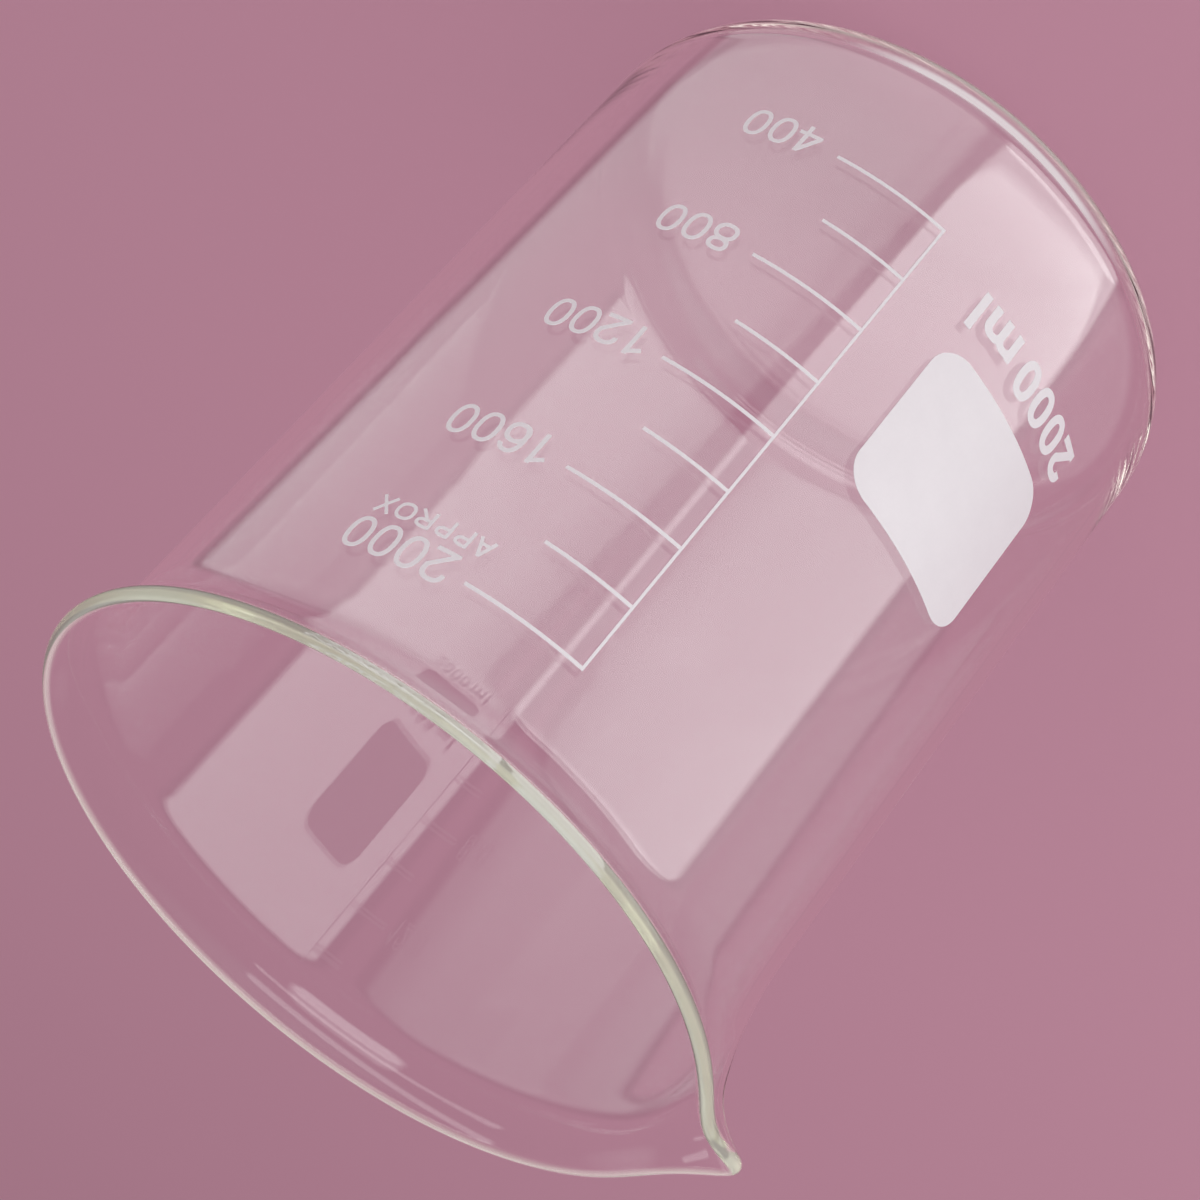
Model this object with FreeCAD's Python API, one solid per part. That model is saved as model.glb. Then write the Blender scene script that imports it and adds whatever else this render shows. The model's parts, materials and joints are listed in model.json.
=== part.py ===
import FreeCAD, Part
import math
import os

# A low-form griffin beaker of 2000 ml, in millimetres. It stands on z = 0 with its axis on Z.
# A bearing is an angle about the axis: 0 faces -Y, where the scale line is, and it grows towards +X.
V = FreeCAD.Vector

# The blown glass
body_diameter = 132.0
body_height = 187.0
wall = 2.3
base_thickness = 3.0
foot_radius = 13.0
rim_diameter = 143.2
bead = 3.0
bead_neck = 3.0
flare_height = 14.0

# The pouring spout, pulled out of the rim to the left of the scale
spout_bearing = -83.7
spout_reach = 9.8
spout_dip = 3.2
spout_depth = 39.0
spout_tip_width = 7.0
spout_spread = 12.4
spout_curve = 1.85

# Where the flared end meets the straight wall, its skins draw in by a hair, so that the two join cleanly
seam_step = 0.15
seam_run = 0.8
skin_margin = 0.01

# White enamel, fired on the outside
enamel = 0.1
mark_values = [400, 600, 800, 1000, 1200, 1400, 1600, 1800, 2000]
numbered_step = 400
first_mark_height = 40.3
highest_mark_drop = 26.7
mark_thickness = 0.75
long_mark = 23.9
short_mark = 18.2
scale_line_width = 0.55

numeral_height = 7.3
numeral_width = 4.55
numeral_pitch = 5.37
numeral_stroke = 0.85
numeral_gap = 4.3
numeral_drop = 0.5

approx_text = "APPROX"
approx_height = 3.9
approx_stroke = 0.6
approx_left = 23.7
approx_drop = 7.65

patch_width = 39.4
patch_height = 38.5
patch_corner = 6.5
patch_gap = 13.2
patch_bottom = 57.2

capacity_height = 9.2
capacity_width = 5.45
capacity_pitch = 6.3
capacity_stroke = 1.7
capacity_gap = 5.0
capacity_inset = 0.3
capacity_m_width = 8.75
capacity_l_gap = 1.5

body_radius = body_diameter / 2
bore_radius = body_radius - wall
mid_radius = body_radius - wall / 2
bead_height = body_height - bead / 2
bead_radius_out = rim_diameter / 2 - bead / 2
spout_root = bead_height - spout_depth
mark_spacing = (body_height - highest_mark_drop - first_mark_height) / (len(mark_values) - 1)


def flare_radius():
    """The arc that turns the straight wall out to the middle of the bead."""
    run = bead_radius_out - mid_radius
    rise = flare_height - bead / 2
    return (run * run + rise * rise) / (2 * run)


def wall_radius(z):
    """The middle of the wall at height z, away from the spout."""
    rise = z - (body_height - flare_height)
    if rise <= 0:
        return mid_radius
    arc = flare_radius()
    return mid_radius + arc - math.sqrt(arc * arc - rise * rise)


def spout_share(turn):
    """How much of the spout is felt at an angle from its middle: 1 at the tip and 0 far from it."""
    across = math.remainder(turn, 2 * math.pi) * bead_radius_out
    tip = spout_tip_width / 2
    rounded = math.sqrt(1 + (across / tip) ** 2) - 1
    return math.exp(-rounded * tip / (spout_spread / 2))


def wall_point(turn, z):
    """A point in the middle of the wall, where turn is the angle in radians from the spout."""
    rise = max(0.0, (z - spout_root) / spout_depth)
    share = spout_share(turn)
    radius = wall_radius(z) + spout_reach * share * rise ** spout_curve
    height = z - spout_dip * share * rise ** 3
    bearing = math.radians(spout_bearing) + turn
    return V(radius * math.sin(bearing), -radius * math.cos(bearing), height)


def wall_frame(turn, z):
    """The wall's outward normal at a point, and the way up the wall, square to the rim."""
    step = 1e-4
    along = wall_point(turn + step, z) - wall_point(turn - step, z)
    up = wall_point(turn, z) - wall_point(turn, z - 0.01)
    out = along.cross(up).normalize()
    return out, out.cross(along).normalize()


def rim_stations():
    """Where the skin of the flared end runs: up outside, round the bead, and down inside.

    Each station is a height and a distance out of the wall and up along it.
    """
    depths = [spout_depth * (1.25 ** i - 1) / (1.25 ** 13 - 1) for i in range(14)]
    near_seam = [spout_depth - seam_run * i for i in [0.75, 1.5, 2.5, 4]]
    depths = sorted(depths + near_seam + [flare_height - bead / 2])
    outside = []
    for depth in depths:
        thin = wall / 2 - skin_margin
        drawn_in = (seam_step - skin_margin) * math.exp(-((spout_depth - depth) / seam_run) ** 2)
        swell = (bead / 2 - thin) * math.exp(-(depth / bead_neck) ** 2)
        outside.append((bead_height - depth, thin - drawn_in + swell, 0.0))
    turns = [math.radians(a) for a in range(30, 151, 30)]
    over = [(bead_height, bead / 2 * math.cos(a), bead / 2 * math.sin(a)) for a in turns]
    inside = [(z, -out, lift) for z, out, lift in outside]
    return outside[::-1] + over + inside


def skin_point(station, even):
    """A point of the skin at a station, with the points round the glass gathered at the spout."""
    z, out, lift = station
    turn = even - 0.7 * math.sin(even)
    normal, up = wall_frame(turn, z)
    return wall_point(turn, z) + normal * out + up * lift


def smooth_skin(count=96):
    """One smooth surface through the stations, closed round the glass."""
    stations = rim_stations()
    evens = [2 * math.pi * i / count - math.pi for i in range(count)]
    lines = [[skin_point(station, even) for station in stations] for even in evens]
    runs = [0.0]
    for low, high in zip(lines[0], lines[0][1:]):
        runs.append(runs[-1] + low.distanceToPoint(high))
    uprights = []
    for line in lines:
        upright = Part.BSplineCurve()
        upright.interpolate(Points=line, Parameters=runs, InitialTangent=V(0, 0, 1),
                            FinalTangent=V(0, 0, -1))
        uprights.append(upright)
    rings = []
    for j in range(uprights[0].NbPoles):
        ring = Part.BSplineCurve()
        ring.interpolate(Points=[upright.getPole(j + 1) for upright in uprights],
                         PeriodicFlag=True, Parameters=[float(i) for i in range(count + 1)])
        rings.append(ring)
    skin = Part.BSplineSurface()
    skin.buildFromPolesMultsKnots([ring.getPoles() for ring in rings],
                                  upright.getMultiplicities(), ring.getMultiplicities(),
                                  upright.getKnots(), ring.getKnots(), False, True, 3, 3)
    return skin.toShape()


def flared_end():
    """The flared end with its bead and spout, down to where the spout begins."""
    skin = smooth_skin()
    rings = sorted([e for e in skin.Edges if e.isClosed()], key=lambda e: e.Length)
    seat = Part.Face([Part.Wire(rings[-1]), Part.Wire(rings[0])])
    shell = Part.makeCompound([skin, seat])
    shell.sewShape(1e-4)
    return Part.Solid(shell.Shells[0])


def straight_glass():
    """The straight wall, the rounded foot and the flat base, turned about the axis."""
    corner = foot_radius - wall
    q = math.sqrt(0.5)
    a = V(body_radius - foot_radius, 0, 0)
    b = V(body_radius - foot_radius * (1 - q), 0, foot_radius * (1 - q))
    c = V(body_radius, 0, foot_radius)
    d = V(body_radius, 0, spout_root)
    e = V(bore_radius, 0, spout_root)
    f = V(bore_radius, 0, base_thickness + corner)
    g = V(bore_radius - corner * (1 - q), 0, base_thickness + corner * (1 - q))
    h = V(bore_radius - corner, 0, base_thickness)
    middle = V(0, 0, base_thickness)
    edges = [Part.makeLine(V(0, 0, 0), a), Part.Arc(a, b, c).toShape(), Part.makeLine(c, d)]
    edges += [Part.makeLine(d, e), Part.makeLine(e, f), Part.Arc(f, g, h).toShape()]
    edges += [Part.makeLine(h, middle), Part.makeLine(middle, V(0, 0, 0))]
    return Part.Face(Part.Wire(edges)).revolve(V(0, 0, 0), V(0, 0, 1), 360)


def glass_body():
    return straight_glass().fuse(flared_end())


def sleeve(bottom, top):
    """A thin ring of enamel on the glass, from which each print is cut."""
    outer = Part.makeCylinder(body_radius + enamel, top - bottom, V(0, 0, bottom))
    return outer.cut(Part.makeCylinder(body_radius, top - bottom, V(0, 0, bottom)))


def turned(shape, distance):
    """Moves a shape from the front of the glass by a distance round it, to the right if positive."""
    shape.rotate(V(0, 0, 0), V(0, 0, 1), math.degrees(distance / body_radius))
    return shape


def bar(x0, z0, x1, z1, stroke):
    """A straight stroke with square ends, drawn flat in front of the glass."""
    along = V(x1 - x0, 0, z1 - z0).normalize()
    side = V(along.z, 0, -along.x) * (stroke / 2)
    start, end = V(x0, 0, z0), V(x1, 0, z1)
    return Part.Face(Part.makePolygon([start + side, end + side, end - side, start - side, start + side]))


def oval(x, z, half_width, half_height):
    """A closed oval a little squarer than an ellipse, like the bowl of a printed letter."""
    points = []
    for i in range(24):
        a = 2 * math.pi * i / 24
        c, s = math.cos(a), math.sin(a)
        points.append(V(x + half_width * math.copysign(abs(c) ** 0.86, c), 0,
                        z + half_height * math.copysign(abs(s) ** 0.86, s)))
    curve = Part.BSplineCurve()
    curve.interpolate(Points=points, PeriodicFlag=True)
    return Part.Face(Part.Wire(curve.toShape()))


def loop(x, z, width, height, stroke):
    """A closed stroke round an oval, by its outer size."""
    inner = oval(x, z, width / 2 - stroke, height / 2 - stroke)
    return oval(x, z, width / 2, height / 2).cut(inner)


def window(x0, z0, x1, z1):
    """A flat area that keeps or clears part of a stroke."""
    corners = [V(x0, 0, z0), V(x1, 0, z0), V(x1, 0, z1), V(x0, 0, z1), V(x0, 0, z0)]
    return Part.Face(Part.makePolygon(corners))


def opening(x, z, reach, start, end):
    """A flat wedge about a point, between two angles, that clears part of a loop."""
    corners = [V(x, 0, z)]
    for i in range(5):
        a = math.radians(start + (end - start) * i / 4)
        corners.append(V(x + reach * math.cos(a), 0, z + reach * math.sin(a)))
    return Part.Face(Part.makePolygon(corners + corners[:1]))


def digit_zero(w, h, t):
    return [loop(w / 2, h / 2, w, h, t)]


def digit_one(w, h, t):
    stem = w / 2 + t * 0.7
    return [bar(stem, 0, stem, h, t), bar(stem + t * 0.3, h - t * 0.6, w * 0.12, h * 0.71, t)]


def digit_two(w, h, t):
    middle = h - w / 2
    bowl = loop(w / 2, middle, w, w, t).cut(opening(w / 2, middle, 2 * h, 180, 325))
    turn = math.radians(325)
    x = w / 2 + (w - t) / 2 * math.cos(turn)
    z = middle + (w - t) / 2 * math.sin(turn)
    return [bowl, bar(x, z, t * 0.6, t * 0.6, t), bar(0, t / 2, w, t / 2, t)]


def digit_three(w, h, t):
    top = loop(w / 2, h * 0.74, w * 0.92, h * 0.52, t).cut(opening(w / 2, h * 0.74, 2 * h, 180, 272))
    low = loop(w / 2, h * 0.29, w, h * 0.58, t).cut(opening(w / 2, h * 0.29, 2 * h, 88, 188))
    return [top, low]


def digit_four(w, h, t):
    stem = w * 0.7
    bridge = h * 0.3
    return [bar(stem, 0, stem, h, t), bar(0, bridge, w * 1.05, bridge, t),
            bar(stem - t * 0.2, h - t * 0.45, w * 0.06, bridge - t * 0.1, t)]


def digit_five(w, h, t):
    bowl = loop(w / 2, h * 0.32, w, h * 0.64, t).cut(opening(w / 2, h * 0.32, 2 * h, 142, 196))
    return [bowl, bar(w * 0.1, h - t / 2, w * 0.95, h - t / 2, t),
            bar(w * 0.1 + t / 2, h - t / 2, w * 0.1 + t / 2, h * 0.46, t)]


def digit_six(w, h, t):
    spine = loop(w / 2, h / 2, w, h, t).cut(window(w * 0.4, -t, w + t, h * 0.76))
    return [spine, loop(w / 2, h * 0.33, w, h * 0.66, t)]


def digit_seven(w, h, t):
    return [bar(0, h - t / 2, w, h - t / 2, t), bar(w - t * 0.6, h - t * 0.6, w * 0.3, 0, t)]


def digit_eight(w, h, t):
    return [loop(w / 2, h * 0.3, w, h * 0.6, t), loop(w / 2, h * 0.76, w * 0.9, h * 0.48, t)]


def digit_nine(w, h, t):
    spine = loop(w / 2, h / 2, w, h, t).cut(window(-t, h * 0.24, w * 0.6, h + t))
    return [spine, loop(w / 2, h * 0.67, w, h * 0.66, t)]


def letter_a(w, h, t):
    return [bar(t / 2, 0, w / 2, h, t), bar(w - t / 2, 0, w / 2, h, t),
            bar(w * 0.2, h * 0.32, w * 0.8, h * 0.32, t)]


def letter_p(w, h, t):
    bowl = loop(w * 0.5, h * 0.72, w, h * 0.56, t).cut(window(-t, 0, w * 0.45, h + t))
    return [bar(t / 2, 0, t / 2, h, t), bowl, bar(0, h - t / 2, w * 0.5, h - t / 2, t),
            bar(0, h * 0.44 + t / 2, w * 0.5, h * 0.44 + t / 2, t)]


def letter_r(w, h, t):
    return letter_p(w, h, t) + [bar(w * 0.5, h * 0.44, w, 0, t)]


def letter_o(w, h, t):
    return [loop(w / 2, h / 2, w, h, t)]


def letter_x(w, h, t):
    return [bar(t / 2, 0, w - t / 2, h, t), bar(t / 2, h, w - t / 2, 0, t)]


def letter_m(w, h, t):
    top = h * 0.74
    half = (w + t) / 2
    arches = []
    for x in [0, half - t]:
        arch = loop(x + half / 2, top - half / 2, half, half, t)
        arches.append(arch.cut(window(x - t, 0, x + half + t, top - half / 2)))
        arches.append(bar(x + half - t / 2, 0, x + half - t / 2, top - half / 2, t))
    return [bar(t / 2, 0, t / 2, top, t)] + arches


def letter_l(w, h, t):
    return [bar(t / 2, 0, t / 2, h, t)]


shapes = {"0": digit_zero, "1": digit_one, "2": digit_two, "3": digit_three, "4": digit_four,
          "5": digit_five, "6": digit_six, "7": digit_seven, "8": digit_eight, "9": digit_nine,
          "A": letter_a, "P": letter_p, "R": letter_r, "O": letter_o, "X": letter_x,
          "m": letter_m, "l": letter_l}


def printed(mark, left, bottom, width, height, stroke):
    """One printed character: its strokes joined, wrapped on the glass and cut to the enamel."""
    blocks = [flat.extrude(V(0, -2 * wall, 0)) for flat in shapes[mark](width, height, stroke)]
    block = blocks[0].fuse(blocks[1:]) if len(blocks) > 1 else blocks[0]
    block.translate(V(-width / 2, -body_radius + wall, bottom))
    block = turned(block, left + width / 2)
    return block.common(sleeve(bottom - stroke, bottom + height + stroke)).removeSplitter()


def mark_height(value):
    return first_mark_height + mark_spacing * mark_values.index(value)


def graduation_scale():
    """The upright line and the marks that run from it to the right, in one print."""
    low = mark_height(mark_values[0]) - mark_thickness / 2
    high = mark_height(mark_values[-1]) + mark_thickness / 2
    line = Part.makeBox(scale_line_width, 2 * wall, high - low,
                        V(-scale_line_width / 2, -body_radius - wall, low))
    pieces = []
    for value in mark_values:
        length = short_mark if value % numbered_step else long_mark
        z = mark_height(value)
        ring = sleeve(z - mark_thickness / 2, z + mark_thickness / 2)
        sweep = math.degrees(length / body_radius)
        sector = Part.makeCylinder(body_radius + wall, 2 * mark_thickness,
                                   V(0, 0, z - mark_thickness), V(0, 0, 1), sweep)
        sector.rotate(V(0, 0, 0), V(0, 0, 1), -90)
        pieces.append(ring.common(sector))
    return line.common(sleeve(low, high)).fuse(pieces).removeSplitter()


def graduation_numerals():
    """The numbers to the right of the long marks."""
    pieces = []
    for value in mark_values:
        if value % numbered_step:
            continue
        text = str(value)
        left = long_mark + numeral_gap if len(text) == 3 else long_mark + numeral_gap * 0.75
        bottom = mark_height(value) - numeral_drop - numeral_height / 2
        for i, mark in enumerate(text):
            x = left + i * numeral_pitch
            pieces.append(printed(mark, x, bottom, numeral_width, numeral_height, numeral_stroke))
    return Part.makeCompound(pieces)


def approx_note():
    """The word under the top number."""
    widths = {"A": 0.87, "P": 0.72, "R": 0.8, "O": 0.95, "X": 0.87}
    gaps = {"A": 0.18, "P": 0.25, "R": 0.18, "O": 0.15, "X": 0}
    bottom = mark_height(mark_values[-1]) - approx_drop - approx_height / 2
    x = approx_left
    pieces = []
    for mark in approx_text:
        width = widths[mark] * approx_height
        pieces.append(printed(mark, x, bottom, width, approx_height, approx_stroke))
        x += width + gaps[mark] * approx_height
    return Part.makeCompound(pieces)


def marking_patch():
    """The solid white field for notes, with round corners."""
    chord = 2 * body_radius * math.sin(patch_width / 2 / body_radius)
    block = Part.makeBox(chord, body_radius, patch_height, V(-chord / 2, -2 * body_radius, patch_bottom))
    upright = [e for e in block.Edges if e.BoundBox.YMax - e.BoundBox.YMin > body_radius / 2]
    block = block.makeFillet(patch_corner, upright)
    block.translate(V(0, body_radius / 2, 0))
    block = turned(block, -patch_gap - patch_width / 2)
    return block.common(sleeve(patch_bottom - 1, patch_bottom + patch_height + 1))


def capacity_mark():
    """The bold capacity under the marking patch, ending in line with the patch's right side."""
    bottom = patch_bottom - capacity_gap - capacity_height
    l_left = -patch_gap - capacity_stroke - capacity_inset
    m_left = l_left - capacity_l_gap - capacity_m_width
    pieces = [printed("l", l_left, bottom, capacity_stroke, capacity_height, capacity_stroke),
              printed("m", m_left, bottom, capacity_m_width, capacity_height, capacity_stroke)]
    left = -patch_gap - patch_width
    for i, mark in enumerate(str(mark_values[-1])):
        pieces.append(printed(mark, left + i * capacity_pitch, bottom, capacity_width,
                              capacity_height, capacity_stroke))
    return Part.makeCompound(pieces)


os.makedirs("parts", exist_ok=True)
nodes = {"glass_body": glass_body, "graduation_scale": graduation_scale,
         "graduation_numerals": graduation_numerals, "approx_note": approx_note,
         "marking_patch": marking_patch, "capacity_mark": capacity_mark}
for name, make in nodes.items():
    shape = make()
    shape.exportStep("parts/" + name + ".step")
    print(name, "solids", len(shape.Solids), "valid", shape.isValid(), "volume", round(shape.Volume, 1))
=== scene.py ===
import json
import math

import bpy
from mathutils import Matrix, Vector

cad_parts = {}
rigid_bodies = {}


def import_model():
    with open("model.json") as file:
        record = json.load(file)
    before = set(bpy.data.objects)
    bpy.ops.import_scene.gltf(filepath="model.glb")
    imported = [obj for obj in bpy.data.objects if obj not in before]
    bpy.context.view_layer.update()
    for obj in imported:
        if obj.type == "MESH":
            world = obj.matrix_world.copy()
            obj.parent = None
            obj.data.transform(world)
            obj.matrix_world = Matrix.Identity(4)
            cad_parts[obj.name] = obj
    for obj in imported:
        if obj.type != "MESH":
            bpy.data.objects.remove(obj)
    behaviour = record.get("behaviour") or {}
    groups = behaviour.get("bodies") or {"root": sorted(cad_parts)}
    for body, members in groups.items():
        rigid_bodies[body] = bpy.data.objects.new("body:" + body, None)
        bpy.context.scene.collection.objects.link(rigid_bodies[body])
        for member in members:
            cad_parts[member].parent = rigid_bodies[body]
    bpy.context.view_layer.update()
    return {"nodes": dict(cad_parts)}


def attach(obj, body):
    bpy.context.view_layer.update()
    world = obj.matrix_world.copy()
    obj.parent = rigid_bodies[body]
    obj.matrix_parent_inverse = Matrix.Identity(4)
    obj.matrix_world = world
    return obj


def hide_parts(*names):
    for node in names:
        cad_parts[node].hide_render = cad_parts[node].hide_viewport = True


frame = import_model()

# A griffin beaker of clear borosilicate glass with white fired enamel, in metres, standing on z = 0.
# A bearing is an angle about the axis: 0 faces -Y and it grows towards +X.

prints = ["graduation_scale", "graduation_numerals", "approx_note", "marking_patch", "capacity_mark"]


class Wire:
    # A socket of a node tree. Sums on wires add the Math nodes that work them out.
    def __init__(self, tree, socket=None):
        self.tree = tree
        self.socket = socket

    def node(self, kind, settings=None, inputs=None, output=0):
        made = self.tree.nodes.new("ShaderNode" + kind)
        for name, value in (settings or {}).items():
            setattr(made, name, value)
        for name, value in (inputs or {}).items():
            if isinstance(value, Wire):
                self.tree.links.new(value.socket, made.inputs[name])
            else:
                made.inputs[name].default_value = value
        return Wire(self.tree, made.outputs[output])

    def sum(self, operation, first, second=0.0):
        return self.node("Math", {"operation": operation}, {0: first, 1: second})

    def __add__(self, other):
        return self.sum("ADD", self, other)

    def __sub__(self, other):
        return self.sum("SUBTRACT", self, other)

    def __rsub__(self, other):
        return self.sum("SUBTRACT", other, self)

    def __mul__(self, other):
        return self.sum("MULTIPLY", self, other)

    def __rmul__(self, other):
        return self.sum("MULTIPLY", other, self)

    def ranged(self, first, last, low, high, shape="LINEAR"):
        return self.node("MapRange", {"interpolation_type": shape}, {
            "Value": self, "From Min": first, "From Max": last, "To Min": low, "To Max": high})

    def mixed(self, low, high):
        return self.node("Mix", {"data_type": "RGBA"}, {"Factor": self, 6: low, 7: high}, 2)


def newMaterial(name):
    material = bpy.data.materials.new(name)
    material.use_nodes = True
    material.node_tree.nodes.clear()
    return material, Wire(material.node_tree)


def finishMaterial(start, surface, volume=None):
    made = start.tree.nodes.new("ShaderNodeOutputMaterial")
    start.tree.links.new(surface.socket, made.inputs["Surface"])
    if volume:
        start.tree.links.new(volume.socket, made.inputs["Volume"])


def deselectAll():
    for piece in bpy.context.view_layer.objects:
        piece.select_set(False)


def makeActive(piece, name):
    deselectAll()
    piece.name = piece.data.name = name
    piece.select_set(True)
    bpy.context.view_layer.objects.active = piece


def selectVertices(piece, wanted):
    # Selects by place: wanted is asked about each vertex. The piece is in edit mode before and after.
    bpy.ops.mesh.select_mode(type="VERT")
    bpy.ops.mesh.select_all(action="DESELECT")
    bpy.ops.object.mode_set(mode="OBJECT")
    for vertex in piece.data.vertices:
        vertex.select = wanted(vertex.co)
    bpy.ops.object.mode_set(mode="EDIT")


# The blown glass

glass = {
    "bodyRadius": 0.066,
    "wall": 0.0023,
    "baseThickness": 0.003,
    "footRadius": 0.013,
    "footSwell": 1.5,  # how fast the wall thickens down the foot, as a power
    "rimRadius": 0.0715,
    "height": 0.1869,
    "bead": 0.0029,
    "beadNeck": 0.003,
    "beadRound": 0.985,  # share of the bead's half thickness that is rounded
    "flareHeight": 0.014,
    "spoutBearing": math.radians(-83.7),
    "spoutReach": 0.0098,
    "spoutDip": 0.0032,
    "spoutDepth": 0.039,
    "spoutTip": 0.0035,
    "spoutSpread": 0.0062,
    "spoutCurve": 1.85,
    "spoutSink": 3,
    "topReach": 1.0146,  # the top of the bead follows the spout a little further out and down
    "topSink": 1.037,
    "enamelBite": 0.00003,  # the glass meets the enamel with no air between
    "segments": 512,
    "baseRings": [0.9, 0.85, 0.8],  # each as a share of the one before
    "footRings": 16,
    "wallRings": 8,
    "flareRings": 30,
    "flareCrowding": 1.25,  # rings lie closer towards the rim
    "beadRings": 8,
}
midRadius = glass["bodyRadius"] - glass["wall"] / 2
beadHeight = glass["height"] - glass["bead"] / 2
beadRadius = glass["rimRadius"] - glass["bead"] / 2
spoutRoot = beadHeight - glass["spoutDepth"]
flareRun = beadRadius - midRadius
flareRise = glass["flareHeight"] - glass["bead"] / 2
flareArc = (flareRun ** 2 + flareRise ** 2) / (2 * flareRun)
tiny = 1e-5


def wallRadius(z):
    rise = z - (glass["height"] - glass["flareHeight"])
    if rise <= 0:
        return midRadius
    return midRadius + flareArc - math.sqrt(flareArc ** 2 - rise ** 2)


def wallStations():
    # Radius and height up the middle of the wall, from the edge of the flat base to the rim
    middle = glass["footRadius"] - glass["wall"] / 2
    top = glass["baseThickness"] / 2 + middle
    stations = []
    for i in range(1, glass["footRings"] + 1):
        a = math.pi / 2 * i / glass["footRings"]
        stations.append((midRadius - middle + middle * math.sin(a), top - middle * math.cos(a)))
    for i in range(1, glass["wallRings"] + 1):
        stations.append((midRadius, top + (spoutRoot - top) * i / glass["wallRings"]))
    for i in range(1, glass["flareRings"] + 1):
        left = (1 - i / glass["flareRings"]) ** glass["flareCrowding"]
        z = beadHeight - glass["spoutDepth"] * left
        stations.append((wallRadius(z), z))
    slope = flareRise / math.sqrt(flareArc ** 2 - flareRise ** 2)
    reach = glass["bead"] / 2 / math.sqrt(1 + slope ** 2)
    stations.append((beadRadius + reach * slope, beadHeight + reach))
    return stations


def turnWall():
    # A ring at the edge of the base is drawn in to the middle, then drawn out and up
    base = glass["baseThickness"] / 2
    flat = midRadius - glass["footRadius"] + glass["wall"] / 2
    bpy.ops.mesh.primitive_circle_add(vertices=glass["segments"], radius=flat, fill_type="NOTHING",
                                      location=(0, 0, base))
    piece = bpy.context.object
    makeActive(piece, "glassBeaker")
    bpy.ops.object.transform_apply(location=True, rotation=True, scale=True)
    bpy.ops.object.mode_set(mode="EDIT")
    bpy.ops.mesh.select_all(action="SELECT")
    for shrink in glass["baseRings"]:
        bpy.ops.mesh.extrude_region_move()
        bpy.ops.transform.resize(value=(shrink, shrink, 1), center_override=(0, 0, base))
    bpy.ops.mesh.edge_face_add()
    selectVertices(piece, lambda place: abs(place.xy.length - flat) < tiny)
    radius, height = flat, base
    for nextRadius, nextHeight in wallStations():
        bpy.ops.mesh.extrude_region_move(
            TRANSFORM_OT_translate={"value": (0, 0, nextHeight - height)})
        grow = nextRadius / radius
        bpy.ops.transform.resize(value=(grow, grow, 1), center_override=(0, 0, nextHeight))
        radius, height = nextRadius, nextHeight
    bpy.ops.mesh.select_all(action="SELECT")
    bpy.ops.mesh.remove_doubles(threshold=tiny / 10)
    bpy.ops.mesh.normals_make_consistent(inside=False)
    bpy.ops.object.mode_set(mode="OBJECT")
    return piece


def keepRimDepth(piece):
    # How far each point is below the middle of the bead, for the finish of the glass
    depths = piece.data.attributes.new("rimDepth", "FLOAT", "POINT")
    for vertex, depth in zip(piece.data.vertices, depths.data):
        depth.value = beadHeight - vertex.co.z


def weigh(piece, name, weights):
    group = piece.vertex_groups.new(name=name)
    for index, weight in enumerate(weights):
        if weight > tiny / 10:
            group.add([index], min(1.0, weight), "REPLACE")
    return group.name


def applyModifier(piece, kind, **settings):
    modifier = piece.modifiers.new(kind.title(), kind)
    for name, value in settings.items():
        setattr(modifier, name, value)
    bpy.ops.object.modifier_apply(modifier=modifier.name)


def drawSpout(piece):
    # The spout is drawn out of the rim: each point moves by its share, away from the axis and down
    most = 1.1  # the shares go a little past 1, and a vertex group's weights don't
    pulls = {"-X": [], "+Y": [], "-Y": [], "-Z": []}
    for vertex in piece.data.vertices:
        x, y, z = vertex.co
        bearing = math.atan2(x, -y)
        across = math.remainder(bearing - glass["spoutBearing"], 2 * math.pi) * beadRadius
        rounded = math.sqrt(1 + (across / glass["spoutTip"]) ** 2) - 1
        share = math.exp(-rounded * glass["spoutTip"] / glass["spoutSpread"])
        rise = max(0.0, (z - spoutRoot) / glass["spoutDepth"])
        over = z > beadHeight + tiny  # the last ring, which becomes the round of the bead
        out = share * (glass["topReach"] if over else rise) ** glass["spoutCurve"] / most
        down = share * (glass["topSink"] if over else rise) ** glass["spoutSink"] / most
        pulls["-X"].append(out * -math.sin(bearing))
        pulls["+Y"].append(out * max(0.0, -math.cos(bearing)))
        pulls["-Y"].append(out * max(0.0, math.cos(bearing)))
        pulls["-Z"].append(down)
    for way, weights in pulls.items():
        amount = glass["spoutDip" if way[1] == "Z" else "spoutReach"] * most
        group = weigh(piece, "spout" + way, weights)
        applyModifier(piece, "DISPLACE", direction=way[1], vertex_group=group, mid_level=0.0,
                      strength=-amount if way[0] == "-" else amount)


def thickenWall(piece, heights):
    # The wall swells to the bead at the rim and to the base below
    weights = []
    for height in heights:
        thick = glass["wall"] + 2 * glass["enamelBite"]
        depth = max(0.0, beadHeight - height)
        thick += (glass["bead"] - thick) * math.exp(-(depth / glass["beadNeck"]) ** 2)
        low = max(0.0, 1 - (height - glass["baseThickness"] / 2) / glass["footRadius"])
        thick += (glass["baseThickness"] - thick) * low ** glass["footSwell"]
        weights.append(thick / glass["bead"])
    group = weigh(piece, "wall", weights)
    applyModifier(piece, "SOLIDIFY", thickness=glass["bead"], offset=0.0, use_even_offset=True,
                  use_rim=True, vertex_group=group)


def roundRim(piece):
    bpy.ops.object.mode_set(mode="EDIT")
    bpy.ops.mesh.select_mode(type="EDGE")
    bpy.ops.mesh.select_all(action="DESELECT")
    bpy.ops.mesh.edges_select_sharp(sharpness=math.radians(50))
    bpy.ops.mesh.bevel(offset=glass["bead"] / 2 * glass["beadRound"], segments=glass["beadRings"],
                       profile=0.5, affect="EDGES", clamp_overlap=True)
    bpy.ops.object.mode_set(mode="OBJECT")


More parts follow.
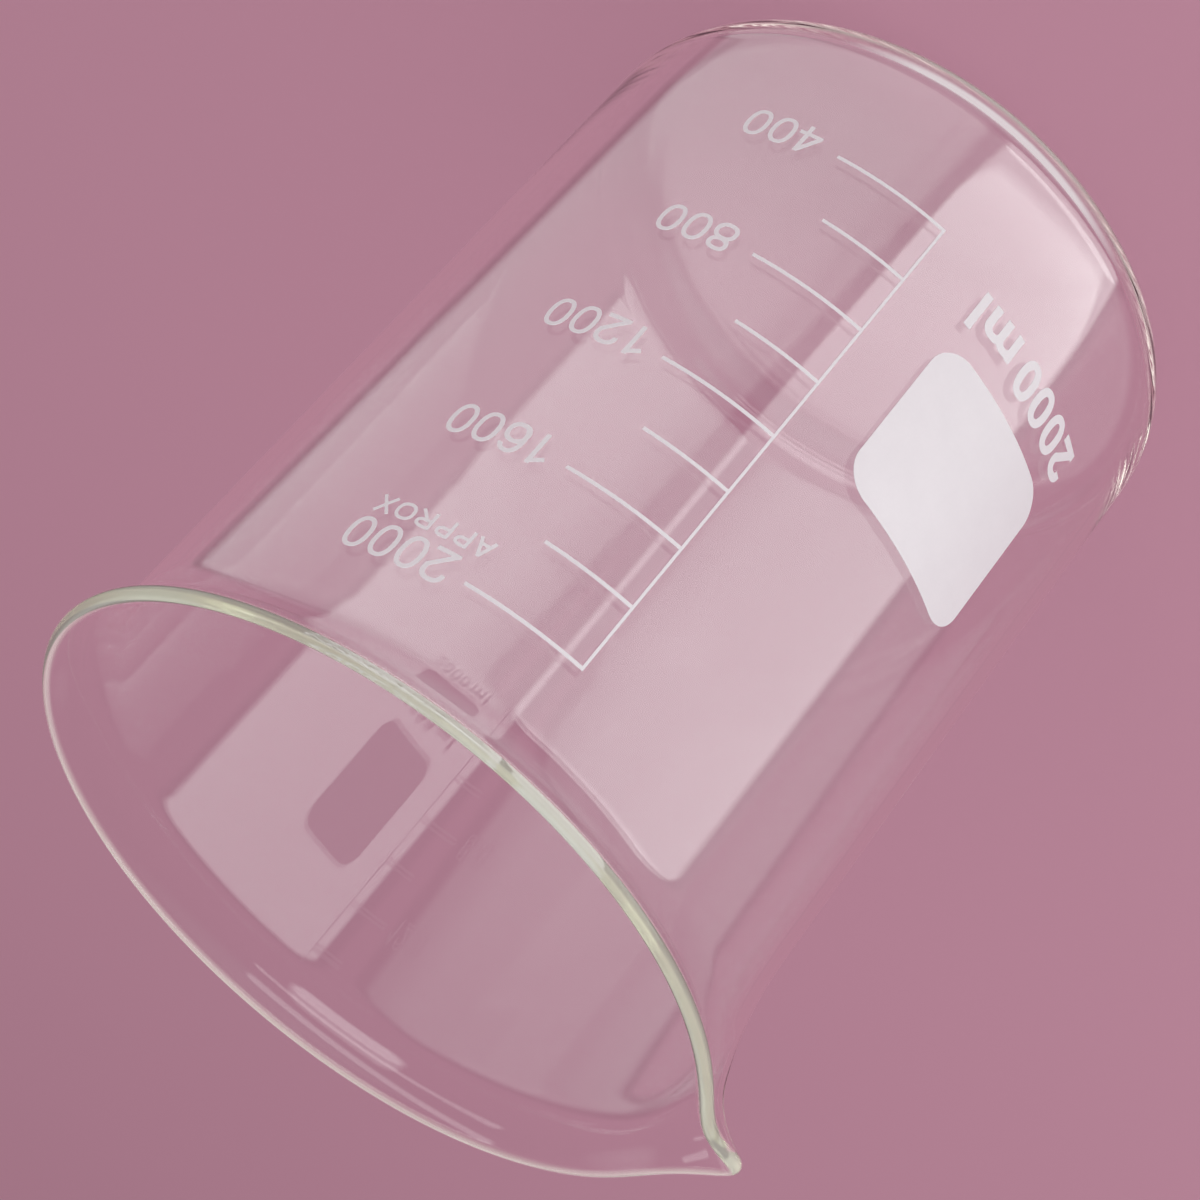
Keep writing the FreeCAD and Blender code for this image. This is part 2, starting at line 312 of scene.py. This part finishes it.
def makeGlass():
    piece = turnWall()
    heights = [vertex.co.z for vertex in piece.data.vertices]
    keepRimDepth(piece)
    drawSpout(piece)
    thickenWall(piece, heights)
    roundRim(piece)
    piece.vertex_groups.clear()
    bpy.ops.object.shade_smooth()
    return piece


# Finishes

clearGlass = {
    "ior": 1.474,
    "tint": (0.62, 0.70, 0.30, 1),
    "tintDensity": 2.0,
    "waveSize": 38.0,
    "waveStretch": (1, 1, 0.3),  # the waves run up the wall, as the glass was drawn
    "waveDepth": 0.0004,
    "waviness": 0.16,
    "shadow": (0.985, 0.98, 0.985, 1),
    "bead": (0.86, 0.84, 0.72, 1),  # painted light: a pale olive colour on the rim stands in for light carried along the wall and out of the rim
    "paintedRimLightShare": 0.38,
    "beadSheen": 0.12,
    "beadStart": 0.0001,
    "beadReach": 0.0008,
}
whiteEnamel = {
    "thin": (0.79, 0.80, 0.81, 1),
    "full": (0.87, 0.885, 0.89, 1),
    "roughness": 0.34,
    "roughnessRange": 0.16,
    "cover": 160.0,
    "grain": 1400.0,
    "ior": 1.5,
    "relief": 0.35,
    "reliefDepth": 0.00003,
}


def glassFinish():
    material, start = newMaterial("clearBorosilicate")
    place = start.node("TexCoord", output="Object")
    drawn = start.node("Mapping", inputs={"Vector": place, "Scale": clearGlass["waveStretch"]})
    waves = start.node("TexNoise", inputs={
        "Vector": drawn, "Scale": clearGlass["waveSize"], "Detail": 0.0, "Roughness": 0.45})
    wavy = start.node("Bump", inputs={
        "Height": waves, "Strength": clearGlass["waviness"], "Distance": clearGlass["waveDepth"]})
    body = start.node("BsdfPrincipled", inputs={
        "Base Color": (1, 1, 1, 1), "IOR": clearGlass["ior"], "Transmission Weight": 1.0,
        "Roughness": 0.0, "Normal": wavy})
    # Painted light: the faces of the bead get a share of a pale olive matte layer, in place of light
    # carried along the wall and out of the rim
    depth = start.node("Attribute", {"attribute_name": "rimDepth"}, output="Fac")
    paintedRimLight = depth.ranged(clearGlass["beadStart"], -clearGlass["beadReach"], 0.0,
                       clearGlass["paintedRimLightShare"], "SMOOTHSTEP")
    glow = start.node("BsdfPrincipled", inputs={
        "Base Color": clearGlass["bead"], "Roughness": clearGlass["beadSheen"],
        "IOR": clearGlass["ior"]})
    surface = start.node("MixShader", inputs={0: paintedRimLight, 1: body, 2: glow})
    # Lamps and light from the paper go straight through
    clear = start.node("BsdfTransparent", inputs={"Color": clearGlass["shadow"]})
    for path in ["Is Diffuse Ray", "Is Shadow Ray"]:
        straight = start.node("LightPath", output=path)
        surface = start.node("MixShader", inputs={0: straight, 1: surface, 2: clear})
    volume = start.node("VolumeAbsorption", inputs={
        "Color": clearGlass["tint"], "Density": clearGlass["tintDensity"]})
    finishMaterial(start, surface, volume)
    return material


def enamelFinish():
    material, start = newMaterial("firedWhiteEnamel")
    place = start.node("TexCoord", output="Object")
    cover = start.node("TexNoise", inputs={
        "Vector": place, "Scale": whiteEnamel["cover"], "Detail": 5.0, "Roughness": 0.6})
    grain = start.node("TexNoise", inputs={
        "Vector": place, "Scale": whiteEnamel["grain"], "Detail": 4.0})
    colour = (cover * 0.7 + grain * 0.3).mixed(whiteEnamel["thin"], whiteEnamel["full"])
    raised = start.node("Bump", inputs={
        "Height": grain * 0.6 + cover * 0.4, "Strength": whiteEnamel["relief"],
        "Distance": whiteEnamel["reliefDepth"]})
    surface = start.node("BsdfPrincipled", inputs={
        "Base Color": colour, "Normal": raised, "IOR": whiteEnamel["ior"],
        "Roughness": grain * whiteEnamel["roughnessRange"] + whiteEnamel["roughness"]})
    finishMaterial(start, surface)
    return material


def dressPrints():
    enamel = enamelFinish()
    for name in prints:
        for slot in frame["nodes"][name].material_slots:
            slot.material = enamel


# The studio

studio = {
    "pink": (0.462, 0.222, 0.298, 1),  # the paper as the camera sees it
    "paper": (0.53, 0.26, 0.345, 1),
    "paperFibre": 0.985,
    "fibreSize": 5.0,
    "floorSize": 12,
    "floorHeight": -0.0003,
    "daylight": 0.58,
    "room": (0.45, 0.22, 0.29, 1),
    "ends": (0.76, 0.7, 0.72, 1),
    "endsReach": (58.0, 70.0),  # degrees from the middle of the room, where it turns from pink
    "roomMiddle": -5,
    "lightColour": (0.79, 0.85, 0.82),
    "frameReach": (5.0, 2.5),  # degrees from a light's edge, where its dark frame ends and is full
    "upwards": 12.0,
    "lampAim": 0.09,
    "seam": -130.0,  # the azimuth where the round of 360 degrees starts
}
lamps = [
    {"name": "keyLamp", "place": (-0.6, -0.42, 0.65), "size": 0.5, "power": 3.4},
    {"name": "frontLamp", "place": (0.3, -1.1, 0.5), "size": 0.8, "power": 3.5},
]
lampColour = (0.95, 1, 1)
# The lights that the glass mirrors, in degrees. Reach is from one side to the other, then from low
# to high. A tilt or a fade is where the light is whole, where it ends and what is left there.
lights = [
    {"reach": (-72, 5, -47, -10), "corner": 12, "edge": 1.5, "strength": 2.6, "frame": 0.75,
     "tilts": [(-37, -45, 1.8)]},
    {"reach": (7, 121, -52, -10), "corner": 16, "edge": 3, "strength": 1.7, "frame": 0.75,
     "lean": 0.9, "tilts": [(-37, -45, 0.8), (-30, -24, 0.7)],
     "fades": [(24, 12, 0.6), (50, 121, 0.4)]},
    {"reach": (2, 50, 15, 34), "corner": 9, "edge": 3, "strength": 2.6},
    {"reach": (-12, 100, 37, 45), "corner": 4, "edge": 2, "strength": 3.0},
    {"reach": (130, 230, 18, 52), "corner": 16, "edge": 10, "strength": 1.0},
]
leanLevel = -40  # the elevation at which a leaning light keeps its place
view = {  # rolled, so that the mouth is towards the lower left
    "place": (0.0263856, -0.4885703, 0.4090647),
    "right": (-0.7494592, -0.3748085, -0.5457376),
    "down": (-0.6606443, 0.3696934, 0.6533574),
    "forward": (-0.0431283, 0.8502031, -0.5246852),
    "lens": 91.18,
    "sensor": 36.0,
}
bounces = 64
clearBounces = 24


def paperFinish():
    # The paper lets reflected rays through, so that the glass shows the lights which stand lower down
    material, start = newMaterial("pinkPaper")
    place = start.node("TexCoord", output="Object")
    fibre = start.node("TexNoise", inputs={
        "Vector": place, "Scale": studio["fibreSize"], "Detail": 1.0})
    darker = tuple(c * studio["paperFibre"] for c in studio["paper"][:3]) + (1,)
    colour = fibre.mixed(darker, studio["paper"])
    paper = start.node("BsdfDiffuse", inputs={"Color": colour, "Roughness": 0.6})
    clear = start.node("BsdfTransparent")
    shadow = start.node("LightPath", output="Is Shadow Ray")
    reflected = start.node("LightPath", output="Glossy Depth")
    through = start.sum("MAXIMUM", shadow, start.sum("GREATER_THAN", reflected, 0.5))
    finishMaterial(start, start.node("MixShader", inputs={0: through, 1: paper, 2: clear}))
    return material


def makeFloor():
    deselectAll()
    bpy.ops.mesh.primitive_plane_add(size=studio["floorSize"],
                                     location=(0, 0, studio["floorHeight"]))
    floor = bpy.context.object
    makeActive(floor, "paperFloor")
    floor.data.materials.append(paperFinish())


def makeLamp(name, place, size, power):
    lamp = bpy.data.lights.new(name, "AREA")
    lamp.shape, lamp.size, lamp.energy, lamp.color = "SQUARE", size, power, lampColour
    holder = bpy.data.objects.new(name, lamp)
    bpy.context.collection.objects.link(holder)
    holder.location = place
    aim = Vector((0, 0, studio["lampAim"])) - Vector(place)
    holder.rotation_euler = aim.to_track_quat("-Z", "Y").to_euler()
    holder.visible_camera = holder.visible_transmission = holder.visible_glossy = False


def softBox(start, azimuth, elevation, box):
    # A light with round corners and soft edges and the dark frame round it, if it has one
    left, right, low, high = box["reach"]
    if "lean" in box:
        azimuth = azimuth - (elevation - leanLevel) * box["lean"]
    sides = []
    for angle, first, last in [(azimuth, left, right), (elevation, low, high)]:
        off = start.sum("ABSOLUTE", angle - (first + last) / 2)
        sides.append(start.sum("MAXIMUM", off - ((last - first) / 2 - box["corner"]), 0.0))
    distance = start.sum("SQRT", sides[0] * sides[0] + sides[1] * sides[1]) - box["corner"]
    light = distance.ranged(0.0, -box["edge"], 0.0, box["strength"])
    for angle, changes in [(elevation, box.get("tilts", [])), (azimuth, box.get("fades", []))]:
        for whole, end, share in changes:
            light = light * angle.ranged(whole, end, 1.0, share)
    if "frame" not in box:
        return light, None
    return light, distance.ranged(*studio["frameReach"], 0.0, box["frame"])


def makeGlow(start):
    # What reflected rays see: the room, white above and below, and the lights
    direction = start.node("TexCoord", output="Generated")
    parts = start.node("SeparateXYZ", inputs={0: direction})
    x, y, z = [Wire(start.tree, part) for part in parts.socket.node.outputs]
    azimuth = start.sum("DEGREES", start.sum("ARCTAN2", x, 0 - y))
    azimuth = azimuth + 360 * start.sum("LESS_THAN", azimuth, studio["seam"])
    elevation = start.sum("DEGREES", start.sum("ARCSINE", z))
    light, dark = softBox(start, azimuth, elevation, lights[0])
    for box in lights[1:]:
        more, surround = softBox(start, azimuth, elevation, box)
        light = light + more
        if surround:
            dark = start.sum("MAXIMUM", dark, surround)
    ends = start.sum("ABSOLUTE", elevation - studio["roomMiddle"])
    room = ends.ranged(*studio["endsReach"], 0.0, 1.0).mixed(studio["room"], studio["ends"])
    room = dark.mixed(room, (0, 0, 0, 1))
    light = start.node("VectorMath", {"operation": "SCALE"}, {
        0: studio["lightColour"], "Scale": light})
    glow = start.node("Mix", {"data_type": "RGBA", "blend_type": "ADD"}, {
        "Factor": 1.0, 6: room, 7: light}, 2)
    return glow, elevation


def makeWorld():
    # Seen straight or through the glass it is the paper's pink. Reflected rays see the lights, and
    # so do rays that leave the glass upwards.
    world = bpy.data.worlds.new("studio")
    bpy.context.scene.world = world
    world.use_nodes = True
    world.node_tree.nodes.clear()
    start = Wire(world.node_tree)
    camera, passing, glossy = [
        start.node("LightPath", output=path)
        for path in ["Is Camera Ray", "Is Transmission Ray", "Is Glossy Ray"]]
    seen = start.sum("MAXIMUM", start.sum("MAXIMUM", camera, passing), glossy)
    bounced = start.node("LightPath", output="Glossy Depth")
    glow, elevation = makeGlow(start)
    upward = start.sum("GREATER_THAN", elevation, studio["upwards"]) * passing
    mirrored = start.sum("MAXIMUM", start.sum("GREATER_THAN", bounced, 0.5), upward)
    day = start.node("Background", inputs={"Color": (1, 1, 1, 1), "Strength": studio["daylight"]})
    pink = start.node("Background", inputs={"Color": studio["pink"]})
    mirror = start.node("Background", inputs={"Color": glow})
    shown = start.node("MixShader", inputs={0: mirrored, 1: pink, 2: mirror})
    sky = start.node("MixShader", inputs={0: seen, 1: day, 2: shown})
    made = start.tree.nodes.new("ShaderNodeOutputWorld")
    start.tree.links.new(sky.socket, made.inputs["Surface"])


def makeCamera():
    camera = bpy.data.cameras.new("camera")
    camera.lens, camera.sensor_width = view["lens"], view["sensor"]
    camera.clip_start, camera.clip_end = 0.01, 20
    holder = bpy.data.objects.new("camera", camera)
    bpy.context.collection.objects.link(holder)
    right, down, forward = [Vector(view[name]) for name in ["right", "down", "forward"]]
    turn = Matrix((right, -down, -forward)).transposed().to_4x4()
    holder.matrix_world = Matrix.Translation(view["place"]) @ turn
    bpy.context.scene.camera = holder


def makeStudio():
    makeFloor()
    for lamp in lamps:
        makeLamp(**lamp)
    makeWorld()
    makeCamera()


deselectAll()
beaker = makeGlass()
beaker.data.materials.clear()
beaker.data.materials.append(glassFinish())
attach(beaker, "root")
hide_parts("glass_body")
print("glass", len(beaker.data.polygons), "faces")

dressPrints()
print("enamel on", len(prints), "prints")

makeStudio()
print("studio")

scene = bpy.context.scene
scene.view_settings.view_transform = "Standard"
scene.cycles.max_bounces = scene.cycles.transmission_bounces = scene.cycles.glossy_bounces = bounces
scene.cycles.transparent_max_bounces = clearBounces
